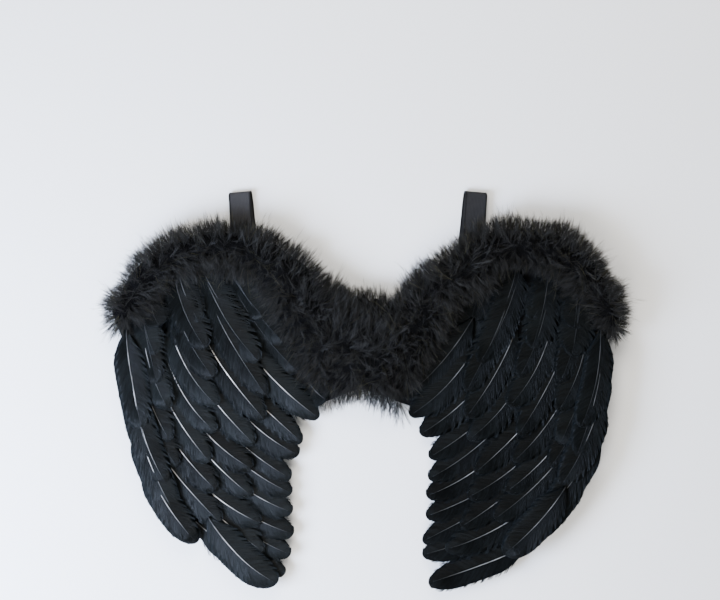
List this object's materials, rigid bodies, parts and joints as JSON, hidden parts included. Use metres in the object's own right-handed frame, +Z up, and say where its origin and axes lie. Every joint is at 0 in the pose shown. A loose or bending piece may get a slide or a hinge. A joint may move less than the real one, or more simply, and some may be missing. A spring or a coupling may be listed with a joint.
{
  "type": "feathered costume wings",
  "caption": "Pair of feathered costume wings, joined at the centre, with a fluffy down trim along the top and two elastic shoulder loops.",
  "frame": {"origin": "on the surface that the wings lie on, under the middle of their whole outline", "axes": "+X to the right across the feathered face, +Y towards the shoulder loops, +Z up, the way the feathered face looks"},
  "size_m": [0.603, 0.4536, 0.0511],
  "materials": {
    "feather": "dyed black goose feathers, satin",
    "down": "dyed black marabou down, soft matte",
    "felt": "black felt over card, matte",
    "elastic": "black woven elastic, matte"
  },
  "bodies": {
    "root": {"left_panel": "felt", "right_panel": "felt", "joining_panel": "felt", "left_shoulder_strap": "elastic", "right_shoulder_strap": "elastic", "left_primaries": "feather", "left_secondaries": "feather", "left_lower_coverts": "feather", "left_upper_coverts": "feather", "left_edge_feathers": "feather", "right_primaries": "feather", "right_secondaries": "feather", "right_lower_coverts": "feather", "right_upper_coverts": "feather", "right_edge_feathers": "feather", "left_down_trim": "down", "centre_down_trim": "down", "right_down_trim": "down"}
  },
  "joints": []
}
